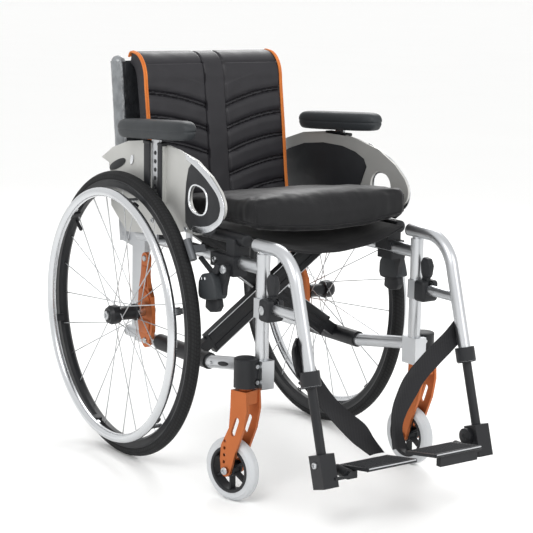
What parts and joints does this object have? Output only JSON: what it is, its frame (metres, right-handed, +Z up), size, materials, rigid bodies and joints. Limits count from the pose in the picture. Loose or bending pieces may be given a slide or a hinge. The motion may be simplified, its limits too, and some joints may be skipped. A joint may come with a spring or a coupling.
{
  "type": "manual wheelchair",
  "caption": "Folding manual wheelchair with cross-brace frame, quick-release rear wheels, swivel casters, swing-away foot rests, padded back, cushion and height-adjustable arm rests.",
  "frame": {"origin": "on the floor, centred between the tyre tread at the back and the foot plates' toe edge, midway between the push rings", "axes": "+Z up, the chair faces -Y, the occupant's right hand side is -X"},
  "size_m": [0.597, 0.99, 0.839],
  "materials": {
    "satin_aluminium": "satin anodised",
    "polished_aluminium": "polished",
    "black_frame": "satin black powder coat",
    "black_plastic": "fine moulded",
    "orange_anodised": "orange anodised",
    "arm_pad_foam": "moulded soft",
    "tyre_rubber": "fine tread",
    "caster_rubber": "smooth grey",
    "steel": "bright zinc",
    "nylon_fabric": "smooth woven",
    "back_fabric": "padded",
    "webbing": "woven webbing"
  },
  "bodies": {
    "right_side": {"right_frame": "satin_aluminium", "right_caster_housing": "black_frame", "right_clamps": "black_plastic", "right_axle_plate": "orange_anodised", "right_fixings": "steel", "right_side_guard": "satin_aluminium"},
    "right_back": {"right_back_post": "satin_aluminium", "back_cover": "back_fabric", "back_straps": "webbing"},
    "right_arm": {"right_arm_post": "satin_aluminium", "right_arm_pad": "arm_pad_foam"},
    "right_hanger": {"right_hanger": "satin_aluminium", "right_calf_strap": "webbing"},
    "right_latch": {"right_latch_lever": "black_plastic"},
    "right_stem": {"right_foot_stem": "black_frame"},
    "right_plate": {"right_foot_plate": "black_plastic"},
    "right_axle": {"right_axle": "steel"},
    "right_button": {"right_axle_button": "steel"},
    "right_wheel": {"right_tyre": "tyre_rubber", "right_rim": "black_frame", "right_push_ring": "polished_aluminium", "right_spokes": "steel", "right_hub": "black_frame"},
    "right_fork": {"right_caster_fork": "orange_anodised"},
    "right_caster": {"right_caster_tyre": "caster_rubber", "right_caster_hub": "black_plastic"},
    "right_brake": {"right_brake_lever": "black_plastic"},
    "right_shoe": {"right_brake_shoe": "black_plastic"},
    "left_side": {"left_frame": "satin_aluminium", "left_caster_housing": "black_frame", "left_clamps": "black_plastic", "left_axle_plate": "orange_anodised", "left_fixings": "steel", "left_side_guard": "satin_aluminium"},
    "left_back": {"left_back_post": "satin_aluminium"},
    "left_arm": {"left_arm_post": "satin_aluminium", "left_arm_pad": "arm_pad_foam"},
    "left_hanger": {"left_hanger": "satin_aluminium", "left_calf_strap": "webbing"},
    "left_latch": {"left_latch_lever": "black_plastic"},
    "left_stem": {"left_foot_stem": "black_frame"},
    "left_plate": {"left_foot_plate": "black_plastic"},
    "left_axle": {"left_axle": "steel"},
    "left_button": {"left_axle_button": "steel"},
    "left_wheel": {"left_tyre": "tyre_rubber", "left_rim": "black_frame", "left_push_ring": "polished_aluminium", "left_spokes": "steel", "left_hub": "black_frame"},
    "left_fork": {"left_caster_fork": "orange_anodised"},
    "left_caster": {"left_caster_tyre": "caster_rubber", "left_caster_hub": "black_plastic"},
    "left_brake": {"left_brake_lever": "black_plastic"},
    "left_shoe": {"left_brake_shoe": "black_plastic"},
    "front_cross": {"front_cross_bar": "black_frame", "cross_bolt": "steel"},
    "rear_cross": {"rear_cross_bar": "black_frame"},
    "seat": {"seat_sling": "nylon_fabric", "seat_cushion": "nylon_fabric"}
  },
  "joints": [
    {"name": "fold", "type": "hinge", "parent": "right_side", "child": "front_cross", "pos_m": [-0.188, 0.027, 0.24], "axis": [0, -1, 0], "range_deg": [0, 38], "deforming": ["seat_sling", "seat_cushion", "back_cover", "back_straps", "right_calf_strap", "left_calf_strap"]},
    {"name": "scissor", "type": "hinge", "parent": "front_cross", "child": "rear_cross", "pos_m": [0, 0.027, 0.371], "axis": [0, -1, 0], "range_deg": [-76, 0]},
    {"name": "left_side_hinge", "type": "hinge", "parent": "rear_cross", "child": "left_side", "pos_m": [0.188, 0.027, 0.24], "axis": [0, -1, 0], "range_deg": [0, 38]},
    {"name": "seat_level", "type": "hinge", "parent": "rear_cross", "child": "seat", "pos_m": [-0.188, 0.027, 0.502], "axis": [0, -1, 0], "range_deg": [0, 38]},
    {"name": "right_recline", "type": "hinge", "parent": "right_side", "child": "right_back", "pos_m": [-0.19, 0.287, 0.452], "axis": [-1, 0, 0], "range_deg": [0, 12]},
    {"name": "right_arm_height", "type": "slide", "parent": "right_side", "child": "right_arm", "axis": [0, 0, 1], "range_m": [0, 0.08]},
    {"name": "right_hanger_swing", "type": "hinge", "parent": "right_side", "child": "right_hanger", "pos_m": [-0.188, -0.225, 0.486], "axis": [0, 0, -1], "range_deg": [0, 90]},
    {"name": "right_latch_release", "type": "hinge", "parent": "right_hanger", "child": "right_latch", "pos_m": [-0.188, -0.2555, 0.3985], "axis": [1, 0, 0], "range_deg": [0, 20], "stiffness_Nm_per_rad": 0.4},
    {"name": "right_stem_height", "type": "slide", "parent": "right_hanger", "child": "right_stem", "axis": [0, 0.2807, 0.9598], "range_m": [0, 0.08]},
    {"name": "right_plate_flip", "type": "hinge", "parent": "right_stem", "child": "right_plate", "pos_m": [-0.144, -0.43, 0.108], "axis": [0, -1, 0], "range_deg": [0, 98.8]},
    {"name": "right_axle_pull", "type": "slide", "parent": "right_side", "child": "right_axle", "axis": [-1, 0, 0], "range_m": [0, 0.1]},
    {"name": "right_axle_release", "type": "slide", "parent": "right_axle", "child": "right_button", "axis": [1, 0, 0], "range_m": [0, 0.004], "stiffness_N_per_m": 400},
    {"name": "right_wheel_spin", "type": "hinge", "parent": "right_axle", "child": "right_wheel", "pos_m": [-0.2557, 0.195, 0.3], "axis": [1, 0, 0], "continuous": true},
    {"name": "right_caster_swivel", "type": "hinge", "parent": "right_side", "child": "right_fork", "pos_m": [-0.219, -0.217, 0.25], "axis": [0, 0, 1], "continuous": true},
    {"name": "right_brake_lever", "type": "hinge", "parent": "right_side", "child": "right_brake", "pos_m": [-0.2165, -0.141, 0.446], "axis": [-1, 0, 0], "range_deg": [0, 40]},
    {"name": "right_brake_shoe", "type": "slide", "parent": "right_side", "child": "right_shoe", "axis": [0, 0.8296, -0.5584], "range_m": [0, 0.006]},
    {"name": "right_caster_spin", "type": "hinge", "parent": "right_fork", "child": "right_caster", "pos_m": [-0.22676, -0.18802, 0.0625], "axis": [0.9659, 0.2588, 0], "continuous": true},
    {"name": "left_recline", "type": "hinge", "parent": "left_side", "child": "left_back", "pos_m": [0.19, 0.287, 0.452], "axis": [-1, 0, 0], "range_deg": [0, 12]},
    {"name": "left_arm_height", "type": "slide", "parent": "left_side", "child": "left_arm", "axis": [0, 0, 1], "range_m": [0, 0.08]},
    {"name": "left_hanger_swing", "type": "hinge", "parent": "left_side", "child": "left_hanger", "pos_m": [0.188, -0.225, 0.486], "axis": [0, 0, 1], "range_deg": [0, 90]},
    {"name": "left_latch_release", "type": "hinge", "parent": "left_hanger", "child": "left_latch", "pos_m": [0.188, -0.2555, 0.3985], "axis": [1, 0, 0], "range_deg": [0, 20], "stiffness_Nm_per_rad": 0.4},
    {"name": "left_stem_height", "type": "slide", "parent": "left_hanger", "child": "left_stem", "axis": [0, 0.2807, 0.9598], "range_m": [0, 0.08]},
    {"name": "left_plate_flip", "type": "hinge", "parent": "left_stem", "child": "left_plate", "pos_m": [0.144, -0.43, 0.108], "axis": [0, 1, 0], "range_deg": [0, 98.8]},
    {"name": "left_axle_pull", "type": "slide", "parent": "left_side", "child": "left_axle", "axis": [1, 0, 0], "range_m": [0, 0.1]},
    {"name": "left_axle_release", "type": "slide", "parent": "left_axle", "child": "left_button", "axis": [-1, 0, 0], "range_m": [0, 0.004], "stiffness_N_per_m": 400},
    {"name": "left_wheel_spin", "type": "hinge", "parent": "left_axle", "child": "left_wheel", "pos_m": [0.2557, 0.195, 0.3], "axis": [1, 0, 0], "continuous": true},
    {"name": "left_caster_swivel", "type": "hinge", "parent": "left_side", "child": "left_fork", "pos_m": [0.219, -0.217, 0.25], "axis": [0, 0, 1], "continuous": true},
    {"name": "left_brake_lever", "type": "hinge", "parent": "left_side", "child": "left_brake", "pos_m": [0.2165, -0.141, 0.446], "axis": [-1, 0, 0], "range_deg": [0, 40]},
    {"name": "left_brake_shoe", "type": "slide", "parent": "left_side", "child": "left_shoe", "axis": [0, 0.8296, -0.5584], "range_m": [0, 0.006]},
    {"name": "left_caster_spin", "type": "hinge", "parent": "left_fork", "child": "left_caster", "pos_m": [0.21691, -0.18707, 0.0625], "axis": [0.9976, 0.0698, 0], "continuous": true}
  ],
  "couplings": [
    {"joint": "scissor", "follows": "fold", "ratio": -2},
    {"joint": "left_side_hinge", "follows": "fold", "ratio": 1},
    {"joint": "seat_level", "follows": "fold", "ratio": 1},
    {"joint": "right_plate_flip", "follows": "fold", "ratio": 2.6},
    {"joint": "right_brake_shoe", "follows": "right_brake_lever", "m_per_rad": 0.008594},
    {"joint": "left_plate_flip", "follows": "fold", "ratio": 2.6},
    {"joint": "left_brake_shoe", "follows": "left_brake_lever", "m_per_rad": 0.008594},
    {"joint": "left_recline", "follows": "right_recline", "ratio": 1}
  ]
}
